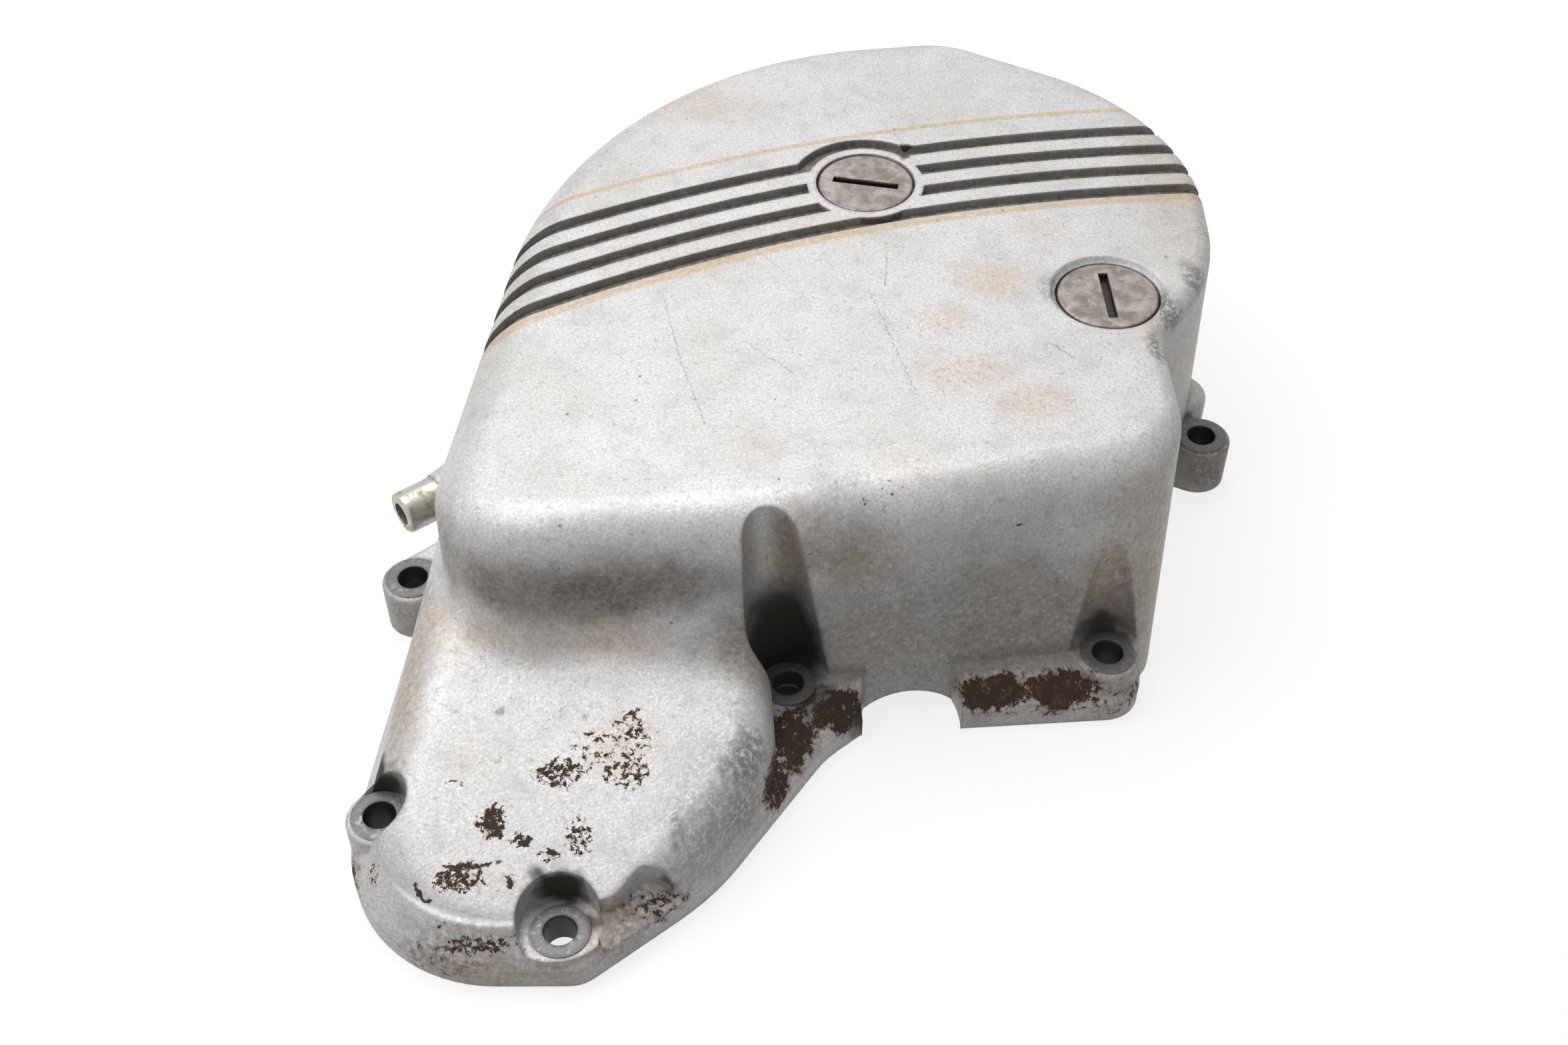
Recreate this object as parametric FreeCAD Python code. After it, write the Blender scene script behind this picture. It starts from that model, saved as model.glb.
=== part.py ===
import FreeCAD, Part
import os
from math import cos, hypot, pi, radians, sin, tan

from FreeCAD import Vector

# Stator cover of a single-cylinder motorcycle engine, a drafted aluminium casting with two screwed plugs.
# Sizes are in millimetres. The gasket face is the plane z = 0 and +Z points away from the engine.
# Plan coordinates are drawn on one layout grid. The finished part is moved so that its footprint's centre
# is the origin.

# Heights above the gasket face
TOP_HEIGHT = 60.0
SEAT_HEIGHT = 13.0
LOW_SEAT_HEIGHT = 8.0

# Casting walls
SIDE_WALL = 4.2
TOP_WALL = 4.5
GASKET_LAND = 5.6

# Edge rounding of the flywheel housing: large towards the front and left, small at the back and right
SOFT_EDGE_R = 12.0
CRISP_EDGE_R = 4.0
INNER_EDGE_R = 2.0
SOFT_EDGE_MAX_X = 74.0
SOFT_EDGE_MAX_Y = 36.0

# Flywheel housing outline at the roof and at the gasket face, counter-clockwise corners: x, y, corner radius
ROOF_CORNERS = [
    (-78.5, -66.0, 24.0),
    (5.0, -59.5, 240.0),
    (88.5, -37.5, 20.0),
    (86.5, 2.6, 8.0),
    (103.5, 23.0, 58.0),
    (105.6, 90.5, 67.0),
    (45.0, 127.0, 23.0),
    (-57.0, 114.5, 102.0),
]
FOOT_CORNERS = [
    (-80.1, -67.5, 25.0),
    (5.0, -61.5, 240.0),
    (84.3, -54.5, 14.0),
    (88.2, 2.0, 8.0),
    (105.2, 23.0, 59.0),
    (107.3, 91.4, 68.5),
    (45.5, 128.7, 24.5),
    (-58.5, 116.2, 103.5),
]

# Skirt around the lower edge of the cover
SKIRT_CORNERS = [
    (-85.0, -25.0, 10.0),
    (-95.2, -130.8, 33.5),
    (-41.0, -130.9, 8.0),
    (-15.0, -110.0, 60.0),
    (9.0, -74.0, 25.0),
    (17.4, -67.0, 4.0),
    (79.5, -62.9, 8.4),
    (86.8, -20.0, 10.0),
]
SKIRT_LEDGE = 6.0
SKIRT_SIDE_HEIGHT = 5.0
SKIRT_LEDGE_HEIGHT = 12.5
NOTCH_X = 28.3
NOTCH_Y = -64.5
NOTCH_R = 11.3
ARCH_HEIGHT = 5.2
ARCH_HALF_WIDTH = 11.3
ARCH_REACH = 16.0

# Starter gear lobe: outline, and the height of its sloping roof
LOBE_CORNERS = [
    (-77.5, -12.0, 6.0),
    (-93.7, -130.2, 34.0),
    (-42.0, -130.4, 12.0),
    (-16.0, -109.0, 50.0),
    (-1.0, -86.0, 24.0),
    (-5.5, -12.0, 6.0),
]
LOBE_DRAFT_DEG = 3.0
LOBE_RIM_Y, LOBE_RIM_HEIGHT = -133.0, 9.8
LOBE_MID_Y, LOBE_MID_HEIGHT = -100.0, 20.2
LOBE_BACK_Y, LOBE_BACK_HEIGHT = -30.0, 40.0
LOBE_FRONT_Y = -115.0
LOBE_LEFT_EDGE_R = 13.0
LOBE_FRONT_EDGE_R = 5.0
LOBE_RIGHT_EDGE_R = 8.0
LOBE_INNER_EDGE_R = 3.0
STEP_BLEND_R = 12.0
STEP_END_R = 4.0
STEP_LEFT_X, STEP_RIGHT_X = -77.0, -3.6
STEP_FADE = 16.0

# Bolt holes for M6 screws: x, y, height of the machined seat
BOLT_HOLES = {
    "right": (105.0, 17.2, SEAT_HEIGHT),
    "front_right": (72.7, -54.2, SEAT_HEIGHT),
    "front": (0.7, -62.7, SEAT_HEIGHT),
    "lobe_front": (-45.6, -122.9, LOW_SEAT_HEIGHT),
    "lobe_left": (-84.9, -97.9, SEAT_HEIGHT),
    "left": (-86.9, -30.1, SEAT_HEIGHT),
    "left_middle": (-72.0, 54.0, SEAT_HEIGHT),
    "back_left": (-37.0, 108.5, SEAT_HEIGHT),
    "back": (28.0, 134.5, SEAT_HEIGHT),
    "back_right": (86.0, 111.5, SEAT_HEIGHT),
    "right_back": (106.0, 85.5, SEAT_HEIGHT),
}

# Driver pockets sunk above some seats: radius at the seat, radius at the roof, and how far the roof end leans
POCKETS = {
    "front_right": (8.6, 2.0, 0.0, 6.0),
    "front": (9.4, 5.6, -4.0, 4.0),
    "lobe_front": (8.6, 10.0, 0.0, 0.0),
    "lobe_left": (6.6, 7.6, 0.0, 0.0),
}
BOLT_HOLE_R = 3.5
BOSS_R = 7.3
SEAT_R = 6.2
SEAT_STEP = 0.4
POCKET_WALL = 3.2
BOSS_RIM_R = 1.0
WEB_REACH = 12.0

# Plain lug behind the right-hand boss
EAR_X, EAR_Y = 101.0, 32.5
EAR_R = 7.5
EAR_HEIGHT = 15.0
EAR_RIM_R = 2.5

# Screwed plugs over the crankshaft end and the timing window
CRANK_X, CRANK_Y = 20.8, 60.0
TIMING_X, TIMING_Y = 76.0, 16.0
CRANK_SLOT_DEG = -12.0
TIMING_SLOT_DEG = 92.0
RECESS_R = 12.4
RECESS_FLOOR = TOP_HEIGHT - 3.6
SEAL_SEAT_R = 11.1
SEAL_SEAT_DEPTH = 2.2
PORT_R = 10.1
PORT_BOSS_R = 14.0
PORT_BOTTOM = TOP_HEIGHT - 16.0
COLLAR_R = 14.6
THREAD_GAP = 0.3
PLUG_SEAT_GAP = 0.05
PLUG_HEAD_R = 11.8
PLUG_HEAD_HEIGHT = 3.4
PLUG_EDGE_R = 0.4
PLUG_NECK_R = 8.8
PLUG_SHANK_LENGTH = 8.0
PLUG_HOLLOW_R = 6.5
SLOT_LENGTH = 16.5
SLOT_WIDTH = 2.2
SLOT_DEPTH = 2.0
SEAL_SECTION_R = 1.0
SEAL_GAP = 0.1

# Dished roof around the timing plug, which sits lower than the crankshaft plug
DISH_R = 13.6
DISH_FLOOR_R = 12.9
DISH_DEPTH = 1.2
TIMING_DROP = 0.8

# Tilted shelf beside the front seat of the lobe: a point of its rim, direction and tilt of the rim, then its
# counter-clockwise corners: x, y, corner radius
SHELF_RIM_X, SHELF_RIM_Y, SHELF_RIM_HEIGHT = -28.6, -121.0, 6.1
SHELF_RIM_DEG = 38.8
SHELF_TILT_DEG = 25.0
SHELF_CORNERS = [
    (-39.4, -120.0, 1.5),
    (-36.8, -127.2, 1.5),
    (-22.0, -118.4, 5.0),
    (-23.6, -112.8, 2.5),
    (-29.6, -112.8, 3.0),
    (-34.8, -119.2, 5.0),
]

# Rows of grooves across the roof, arcs about one far centre
GROOVE_CENTRE_X = 115.4
GROOVE_CENTRE_Y = -292.5
GROOVE_FIRST_R = 349.5
GROOVE_PITCH = 8.6
GROOVE_COUNT = 4
GROOVE_WIDTH = 4.0
GROOVE_DEPTH = 2.0

# Stator pads under the roof, and the idler shaft boss in the lobe
STATOR_PAD_ANGLES = (90.0, 210.0, 330.0)
STATOR_PAD_CIRCLE_R = 29.0
STATOR_PAD_R = 6.5
STATOR_PAD_DEPTH = 20.0
STATOR_SCREW_R = 2.5
STATOR_SCREW_DEPTH = 12.0
SHAFT_X, SHAFT_Y = -47.0, -86.0
SHAFT_BOSS_R = 9.5
SHAFT_BOSS_BOTTOM = 6.0
SHAFT_BORE_R = 6.0
SHAFT_BORE_TOP = 17.0

# Steel hose nipple pressed into a cast base on the left wall
NIPPLE_X, NIPPLE_Y, NIPPLE_Z = -74.0, 1.0, 16.0
NIPPLE_AXIS = Vector(-0.8, -0.6, 0.0)
NIPPLE_BASE_R = 8.5
NIPPLE_NECK_R = 5.6
NIPPLE_BASE_LENGTH = 12.0
NIPPLE_SINK = 4.0
NIPPLE_SHANK_R = 4.0
NIPPLE_BARREL_R = 5.2
NIPPLE_BARREL_LENGTH = 10.0
NIPPLE_END_R = 0.8
NIPPLE_BORE_R = 2.9


def offset_corners(corners, inset):
    """Move every side of a counter-clockwise outline inwards and let the radii follow."""
    count = len(corners)
    sides = []
    for i, (x0, y0, _) in enumerate(corners):
        x1, y1, _ = corners[(i + 1) % count]
        length = hypot(x1 - x0, y1 - y0)
        ux, uy = (x1 - x0) / length, (y1 - y0) / length
        sides.append((x0 - uy * inset, y0 + ux * inset, ux, uy))
    moved = []
    for i, (_, _, radius) in enumerate(corners):
        ax, ay, aux, auy = sides[i - 1]
        bx, by, bux, buy = sides[i]
        cross = aux * buy - auy * bux
        along = ((bx - ax) * buy - (by - ay) * bux) / cross
        radius += -inset if cross > 0 else inset
        moved.append((ax + aux * along, ay + auy * along, radius))
    return moved


def outline_wire(corners, z):
    """Closed wire of straight sides joined by tangent corner arcs."""
    count = len(corners)
    arcs = []
    for i, (x, y, radius) in enumerate(corners):
        corner = Vector(x, y, z)
        before = (Vector(corners[i - 1][0], corners[i - 1][1], z) - corner).normalize()
        after = (Vector(corners[(i + 1) % count][0], corners[(i + 1) % count][1], z) - corner).normalize()
        half = before.getAngle(after) / 2
        reach = radius / tan(half)
        middle = (before + after).normalize() * (radius / sin(half) - radius)
        arcs.append((corner + before * reach, corner + middle, corner + after * reach))
    edges = []
    for i, (start, mid, end) in enumerate(arcs):
        edges.append(Part.Arc(start, mid, end).toShape())
        edges.append(Part.LineSegment(end, arcs[(i + 1) % count][0]).toShape())
    return Part.Wire(edges)


def ruled_solid(low_corners, high_corners, z_low, z_high):
    """Solid whose walls are ruled between an outline at each of two levels."""
    return Part.makeLoft([outline_wire(low_corners, z_low), outline_wire(high_corners, z_high)], True, True)


def prism(corners, z_low, z_high, inset=0.0):
    face = Part.Face(outline_wire(offset_corners(corners, inset), z_low))
    return face.extrude(Vector(0, 0, z_high - z_low))


def rounded_edges(shape, radii):
    """Round edges given as (edge number, radius at its start, radius at its end)."""
    document = FreeCAD.newDocument("rounding")
    base = document.addObject("Part::Feature", "base")
    base.Shape = shape
    fillet = document.addObject("Part::Fillet", "fillet")
    fillet.Base = base
    fillet.Edges = radii
    document.recompute()
    result = fillet.Shape.copy()
    FreeCAD.closeDocument(document.Name)
    return result


def housing_corners(z):
    """Outline of the housing at one height, between its foot and its roof."""
    share = z / TOP_HEIGHT
    return [tuple(low + (high - low) * share for low, high in zip(foot, roof))
            for foot, roof in zip(FOOT_CORNERS, ROOF_CORNERS)]


def housing_solid(foot_inset, roof_inset, top, soft_r, crisp_r):
    """Flywheel housing, with the large roof rounding at the front and left and the small one elsewhere."""
    body = ruled_solid(offset_corners(housing_corners(0), foot_inset),
                       offset_corners(housing_corners(top), roof_inset), 0, top)

    def radius_at(point):
        return soft_r if point.x < SOFT_EDGE_MAX_X and point.y < SOFT_EDGE_MAX_Y else crisp_r

    radii = []
    for number, edge in enumerate(body.Edges, 1):
        if edge.BoundBox.ZMin > top - 0.01:
            start, end = (vertex.Point for vertex in edge.Vertexes)
            radii.append((number, radius_at(start), radius_at(end)))
    return rounded_edges(body, radii)


def lobe_solid(inset, drop, left_r, front_r, right_r):
    """Starter gear lobe under its sloping roof, which runs on into the housing."""
    run = tan(radians(LOBE_DRAFT_DEG)) * TOP_HEIGHT
    body = ruled_solid(offset_corners(LOBE_CORNERS, inset), offset_corners(LOBE_CORNERS, inset + run), 0, TOP_HEIGHT)
    box = body.BoundBox
    rim = Vector(box.XMin - SIDE_WALL, LOBE_RIM_Y, LOBE_RIM_HEIGHT - drop)
    middle = Vector(rim.x, LOBE_MID_Y, LOBE_MID_HEIGHT - drop)
    back = Vector(rim.x, LOBE_BACK_Y, LOBE_BACK_HEIGHT - drop)
    rim_foot, back_foot = Vector(rim.x, rim.y, 0), Vector(back.x, back.y, 0)
    edges = [
        Part.Arc(rim, middle, back).toShape(),
        Part.LineSegment(back, back_foot).toShape(),
        Part.LineSegment(back_foot, rim_foot).toShape(),
        Part.LineSegment(rim_foot, rim).toShape(),
    ]
    lobe = body.common(Part.Face(Part.Wire(edges)).extrude(Vector(box.XLength + 2 * SIDE_WALL, 0, 0)))

    def radius_at(point):
        if point.y < LOBE_FRONT_Y:
            return front_r
        return left_r if point.x < SHAFT_X else right_r

    radii = []
    for number, edge in enumerate(lobe.Edges, 1):
        if edge.BoundBox.ZMin > 1 and edge.BoundBox.YMin < LOBE_BACK_Y - 10:
            start, end = (vertex.Point for vertex in edge.Vertexes)
            radii.append((number, radius_at(start), radius_at(end)))
    return rounded_edges(lobe, radii)


def upright(radius, x, y, z_low, z_high):
    return Part.makeCylinder(radius, z_high - z_low, Vector(x, y, z_low))


def skirt_solid():
    """Low skirt that carries the gasket face, its sloping ledge and the half-round notch in front."""
    side = prism(SKIRT_CORNERS, 0, SKIRT_SIDE_HEIGHT)
    ledge = ruled_solid(SKIRT_CORNERS, offset_corners(SKIRT_CORNERS, SKIRT_LEDGE), SKIRT_SIDE_HEIGHT,
                        SKIRT_LEDGE_HEIGHT)
    return side.fuse(ledge).cut(upright(NOTCH_R, NOTCH_X, NOTCH_Y, -1, SEAT_HEIGHT))


def toward(x, y, target_x, target_y):
    return Vector(target_x - x, target_y - y, 0).normalize()


def boss_solid(x, y, seat):
    """Bolt boss with a rounded rim and a web that ties it to the housing."""
    height = seat - SEAT_STEP
    post = upright(BOSS_R, x, y, 0, height)
    rim = [edge for edge in post.Edges if edge.BoundBox.ZMin > height - 0.01]
    post = post.makeFillet(BOSS_RIM_R, rim)
    web_height = height - BOSS_RIM_R
    web = Part.makeBox(WEB_REACH, BOSS_R * 2, web_height, Vector(0, -BOSS_R, 0))
    inward = toward(x, y, CRANK_X, CRANK_Y)
    web.rotate(Vector(0, 0, 0), Vector(0, 0, 1), Vector(1, 0, 0).getAngle(inward) * 180 / pi
               * (1 if inward.y >= 0 else -1))
    web.translate(Vector(x, y, 0))
    return post.fuse(web)


def pocket_solid(pocket, margin=0.0):
    """Leaning cone over one bolt seat. A margin gives the wall left around it inside the cover."""
    seat_r, roof_r, lean_x, lean_y = POCKETS[pocket]
    x, y, seat = BOLT_HOLES[pocket]
    low = Part.makeCircle(seat_r + margin, Vector(x, y, seat - SEAT_STEP - margin))
    high = Part.makeCircle(roof_r + margin, Vector(x + lean_x, y + lean_y, TOP_HEIGHT + 1))
    return Part.makeLoft([Part.Wire(low), Part.Wire(high)], True, True)


def groove_tool():
    """Rows of arc grooves, kept clear of the crankshaft plug's collar, that end over the roof's edge."""
    low = TOP_HEIGHT - SOFT_EDGE_R
    rows = []
    for row in range(GROOVE_COUNT):
        radius = GROOVE_FIRST_R + row * GROOVE_PITCH
        outer = upright(radius + GROOVE_WIDTH / 2, GROOVE_CENTRE_X, GROOVE_CENTRE_Y, low, TOP_HEIGHT + 5)
        inner = upright(radius - GROOVE_WIDTH / 2, GROOVE_CENTRE_X, GROOVE_CENTRE_Y, low, TOP_HEIGHT + 5)
        rows.append(outer.cut(inner))
    last_r = GROOVE_FIRST_R + (GROOVE_COUNT - 1) * GROOVE_PITCH
    beyond = upright(last_r - GROOVE_WIDTH / 2, GROOVE_CENTRE_X, GROOVE_CENTRE_Y, low, TOP_HEIGHT + 5)
    collar = upright(COLLAR_R, CRANK_X, CRANK_Y, low, TOP_HEIGHT + 5)
    around = upright(COLLAR_R + GROOVE_WIDTH, CRANK_X, CRANK_Y, low, TOP_HEIGHT + 5)
    tool = rows[0].fuse(rows[1:]).cut(collar)
    return tool.fuse(around.cut(collar).cut(beyond))


def groove_floor():
    return housing_solid(GROOVE_DEPTH, GROOVE_DEPTH, TOP_HEIGHT - GROOVE_DEPTH,
                         SOFT_EDGE_R - GROOVE_DEPTH, CRISP_EDGE_R - GROOVE_DEPTH)


def cavity_solid():
    """Hollow inside of the cover, with material left around every boss and pocket."""
    chamber = housing_solid(GASKET_LAND, SIDE_WALL, TOP_HEIGHT - TOP_WALL, SOFT_EDGE_R - SIDE_WALL, INNER_EDGE_R)
    gear_room = lobe_solid(GASKET_LAND, TOP_WALL, LOBE_LEFT_EDGE_R - SIDE_WALL, INNER_EDGE_R, LOBE_INNER_EDGE_R)
    cavity = chamber.fuse(gear_room)
    columns = []
    columns += [upright(BOSS_R, x, y, 0, seat) for x, y, seat in BOLT_HOLES.values()]
    columns += [pocket_solid(pocket, POCKET_WALL) for pocket in POCKETS]
    columns.append(prism(SHELF_CORNERS, 0, TOP_HEIGHT, -POCKET_WALL))
    for x, y in ((CRANK_X, CRANK_Y), (TIMING_X, TIMING_Y)):
        columns.append(upright(PORT_BOSS_R, x, y, PORT_BOTTOM, TOP_HEIGHT))
    for angle in STATOR_PAD_ANGLES:
        x = CRANK_X + STATOR_PAD_CIRCLE_R * cos(radians(angle))
        y = CRANK_Y + STATOR_PAD_CIRCLE_R * sin(radians(angle))
        columns.append(upright(STATOR_PAD_R, x, y, TOP_HEIGHT - STATOR_PAD_DEPTH, TOP_HEIGHT))
    columns.append(upright(SHAFT_BOSS_R, SHAFT_X, SHAFT_Y, SHAFT_BOSS_BOTTOM, TOP_HEIGHT))
    return cavity.cut(columns)


def port_tool(x, y, drop):
    """Recess, seal seat and thread bore for one plug."""
    floor = RECESS_FLOOR - drop
    recess = upright(RECESS_R, x, y, floor, TOP_HEIGHT + 5)
    seal_seat = upright(SEAL_SEAT_R, x, y, floor - SEAL_SEAT_DEPTH, floor)
    bore = upright(PORT_R, x, y, 0, floor)
    return [recess, seal_seat, bore]


def above_shelf():
    """Block whose lower face is the tilted plane of the shelf."""
    block = Part.makeBox(TOP_HEIGHT * 2, TOP_HEIGHT * 2, TOP_HEIGHT * 2, Vector(-TOP_HEIGHT, -TOP_HEIGHT, 0))
    block.rotate(Vector(0, 0, 0), Vector(1, 0, 0), SHELF_TILT_DEG)
    block.rotate(Vector(0, 0, 0), Vector(0, 0, 1), SHELF_RIM_DEG)
    block.translate(Vector(SHELF_RIM_X, SHELF_RIM_Y, SHELF_RIM_HEIGHT))
    return block


def dish_tool():
    return Part.makeCone(DISH_FLOOR_R, DISH_R, DISH_DEPTH, Vector(TIMING_X, TIMING_Y, TOP_HEIGHT - DISH_DEPTH))


def arch_tool():
    """Low arch through the front wall, where the stator's wires leave."""
    radius = (ARCH_HALF_WIDTH ** 2 + ARCH_HEIGHT ** 2) / (2 * ARCH_HEIGHT)
    return Part.makeCylinder(radius, ARCH_REACH, Vector(NOTCH_X, NOTCH_Y, ARCH_HEIGHT - radius), Vector(0, 1, 0))


def step_radius(x):
    """Radius of the hollow blend, full along the middle of the step and small at its two ends."""
    room = min(x - STEP_LEFT_X, STEP_RIGHT_X - x) / STEP_FADE
    return STEP_END_R + (STEP_BLEND_R - STEP_END_R) * min(max(room, 0), 1)


def blended_step(housing, lobe):
    """Housing and lobe as one body, with a hollow blend where the lobe's roof meets the housing wall."""
    body = housing.fuse(lobe)
    radii = []
    for number, edge in enumerate(body.Edges, 1):
        middle = Part.Vertex(edge.valueAt((edge.FirstParameter + edge.LastParameter) / 2))
        on_both = middle.distToShape(housing)[0] < 1e-3 and middle.distToShape(lobe)[0] < 1e-3
        if on_both and edge.BoundBox.ZMin > LOBE_MID_HEIGHT - 2:
            start, end = edge.Vertexes[0].Point, edge.Vertexes[-1].Point
            radii.append((number, step_radius(start.x), step_radius(end.x)))
    return rounded_edges(body, radii)


def cover_solid():
    body = blended_step(housing_solid(0, 0, TOP_HEIGHT, SOFT_EDGE_R, CRISP_EDGE_R),
                        lobe_solid(0, 0, LOBE_LEFT_EDGE_R, LOBE_FRONT_EDGE_R, LOBE_RIGHT_EDGE_R))
    body = body.cut(groove_tool().cut(groove_floor())).fuse(skirt_solid())
    bosses = [boss_solid(x, y, seat) for x, y, seat in BOLT_HOLES.values()]
    shelf, above = prism(SHELF_CORNERS, 0, TOP_HEIGHT), above_shelf()
    pad = shelf.cut(above).common(prism(SKIRT_CORNERS, 0, TOP_HEIGHT))
    body = body.fuse(bosses + [ear_solid(), nipple_base(), pad])
    body = body.cut([pocket_solid(pocket) for pocket in POCKETS] + [shelf.common(above)])
    body = body.fuse([upright(SEAT_R, x, y, seat - SEAT_STEP - 1, seat) for x, y, seat in BOLT_HOLES.values()])
    body = body.cut(cavity_solid())
    tools = [upright(BOLT_HOLE_R, x, y, -1, seat + 1) for x, y, seat in BOLT_HOLES.values()]
    tools += port_tool(CRANK_X, CRANK_Y, 0) + port_tool(TIMING_X, TIMING_Y, TIMING_DROP)
    tools += [dish_tool(), arch_tool()]
    for angle in STATOR_PAD_ANGLES:
        x = CRANK_X + STATOR_PAD_CIRCLE_R * cos(radians(angle))
        y = CRANK_Y + STATOR_PAD_CIRCLE_R * sin(radians(angle))
        pad_face = TOP_HEIGHT - STATOR_PAD_DEPTH
        tools.append(upright(STATOR_SCREW_R, x, y, pad_face - 1, pad_face + STATOR_SCREW_DEPTH))
    tools.append(upright(SHAFT_BORE_R, SHAFT_X, SHAFT_Y, 0, SHAFT_BORE_TOP))
    tools.append(nipple_bore())
    return body.cut(tools).removeSplitter()


def ear_solid():
    ear = upright(EAR_R, EAR_X, EAR_Y, 0, EAR_HEIGHT)
    rim = [edge for edge in ear.Edges if edge.BoundBox.ZMin > EAR_HEIGHT - 0.01]
    return ear.makeFillet(EAR_RIM_R, rim)


def along_nipple(distance):
    return Vector(NIPPLE_X, NIPPLE_Y, NIPPLE_Z) + NIPPLE_AXIS * distance


def nipple_base():
    return Part.makeCone(NIPPLE_BASE_R, NIPPLE_NECK_R, NIPPLE_BASE_LENGTH + NIPPLE_SINK,
                         along_nipple(-NIPPLE_SINK), NIPPLE_AXIS)


def nipple_bore():
    return Part.makeCylinder(NIPPLE_SHANK_R, NIPPLE_BASE_LENGTH + NIPPLE_SINK * 3,
                             along_nipple(-NIPPLE_SINK * 3), NIPPLE_AXIS)


def nipple_solid():
    """Steel tube pressed into the cast base, with a thicker barrel outside."""
    shank = Part.makeCylinder(NIPPLE_SHANK_R, NIPPLE_BASE_LENGTH, along_nipple(0), NIPPLE_AXIS)
    barrel = Part.makeCylinder(NIPPLE_BARREL_R, NIPPLE_BARREL_LENGTH, along_nipple(NIPPLE_BASE_LENGTH), NIPPLE_AXIS)
    end = [edge for edge in barrel.Edges
           if edge.CenterOfMass.distanceToPoint(along_nipple(NIPPLE_BASE_LENGTH + NIPPLE_BARREL_LENGTH)) < 0.1]
    barrel = barrel.makeFillet(NIPPLE_END_R, end)
    length = NIPPLE_BASE_LENGTH + NIPPLE_BARREL_LENGTH
    bore = Part.makeCylinder(NIPPLE_BORE_R, length + 2, along_nipple(-1), NIPPLE_AXIS)
    return shank.fuse(barrel).cut(bore).removeSplitter()


def plug_solid(x, y, slot_deg, drop):
    """Slotted plug: head, seal neck and hollow threaded shank."""
    floor = RECESS_FLOOR - drop
    head_top = floor + PLUG_SEAT_GAP + PLUG_HEAD_HEIGHT
    head = upright(PLUG_HEAD_R, x, y, floor + PLUG_SEAT_GAP, head_top)
    rim = [edge for edge in head.Edges if edge.BoundBox.ZMin > head_top - 0.01]
    head = head.makeFillet(PLUG_EDGE_R, rim)
    shank_top = floor - SEAL_SEAT_DEPTH - PLUG_SEAT_GAP
    neck = upright(PLUG_NECK_R, x, y, shank_top, floor + PLUG_SEAT_GAP)
    shank = upright(PORT_R - THREAD_GAP, x, y, shank_top - PLUG_SHANK_LENGTH, shank_top)
    hollow = upright(PLUG_HOLLOW_R, x, y, shank_top - PLUG_SHANK_LENGTH - 1, floor - 1)
    slot = Part.makeBox(SLOT_LENGTH, SLOT_WIDTH, SLOT_DEPTH + 1,
                        Vector(-SLOT_LENGTH / 2, -SLOT_WIDTH / 2, head_top - SLOT_DEPTH))
    slot.rotate(Vector(0, 0, 0), Vector(0, 0, 1), slot_deg)
    slot.translate(Vector(x, y, 0))
    return head.fuse([neck, shank]).cut([hollow, slot]).removeSplitter()


def seal_solid(x, y, drop):
    middle = RECESS_FLOOR - drop - SEAL_SEAT_DEPTH / 2
    return Part.makeTorus(PLUG_NECK_R + SEAL_GAP + SEAL_SECTION_R, SEAL_SECTION_R, Vector(x, y, middle))


def main():
    nodes = {
        "cover": cover_solid(),
        "crank_plug": plug_solid(CRANK_X, CRANK_Y, CRANK_SLOT_DEG, 0),
        "crank_plug_seal": seal_solid(CRANK_X, CRANK_Y, 0),
        "timing_plug": plug_solid(TIMING_X, TIMING_Y, TIMING_SLOT_DEG, TIMING_DROP),
        "timing_plug_seal": seal_solid(TIMING_X, TIMING_Y, TIMING_DROP),
        "hose_nipple": nipple_solid(),
    }
    footprint = Part.makeCompound(list(nodes.values())).optimalBoundingBox(False, False)
    os.makedirs("parts", exist_ok=True)
    for name, shape in nodes.items():
        shape.translate(Vector(-footprint.Center.x, -footprint.Center.y, 0))
        shape.exportStep(f"parts/{name}.step")
        print(f"{name}: {len(shape.Solids)} solid, valid {shape.isValid()}, {shape.Volume / 1000:.1f} cm3")


main()
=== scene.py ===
import logging
import math
from dataclasses import dataclass, field
from enum import Enum

import bpy
from mathutils import Matrix, Vector


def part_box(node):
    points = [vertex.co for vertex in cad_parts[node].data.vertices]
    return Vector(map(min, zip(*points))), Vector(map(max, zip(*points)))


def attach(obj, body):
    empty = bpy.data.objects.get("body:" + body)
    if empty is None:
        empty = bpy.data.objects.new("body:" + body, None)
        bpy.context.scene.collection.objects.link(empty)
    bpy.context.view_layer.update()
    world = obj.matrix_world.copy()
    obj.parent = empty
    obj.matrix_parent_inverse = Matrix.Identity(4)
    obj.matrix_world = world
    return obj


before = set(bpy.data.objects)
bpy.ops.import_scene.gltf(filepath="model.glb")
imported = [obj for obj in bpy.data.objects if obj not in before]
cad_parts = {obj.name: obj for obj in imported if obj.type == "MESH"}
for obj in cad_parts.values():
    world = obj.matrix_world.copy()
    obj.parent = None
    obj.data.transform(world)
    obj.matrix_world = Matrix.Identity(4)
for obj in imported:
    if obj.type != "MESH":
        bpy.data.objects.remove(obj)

logger = logging.getLogger("stator_cover")

MM = 0.001
IMAGE_WIDTH = 2352
WHITE = (1.0, 1.0, 1.0, 1.0)

# Sockets of a Mix node by number, because their names repeat from one kind of value to the next
MIX_SHARE = 0
MIX_NUMBERS, MIX_NUMBER_RESULT = (2, 3), 0
MIX_COLOURS, MIX_COLOUR_RESULT = (6, 7), 2

# Range of a value over which a mask rises, or falls where the range's end is below its start
Span = tuple[float, float]
Colour = tuple[float, float, float]

Pair = tuple[float, float]
Point = tuple[float, float, float]
Socket = bpy.types.NodeSocket
Material = bpy.types.Material


class Corner(Enum):
    LOW = 0
    HIGH = 1


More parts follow.
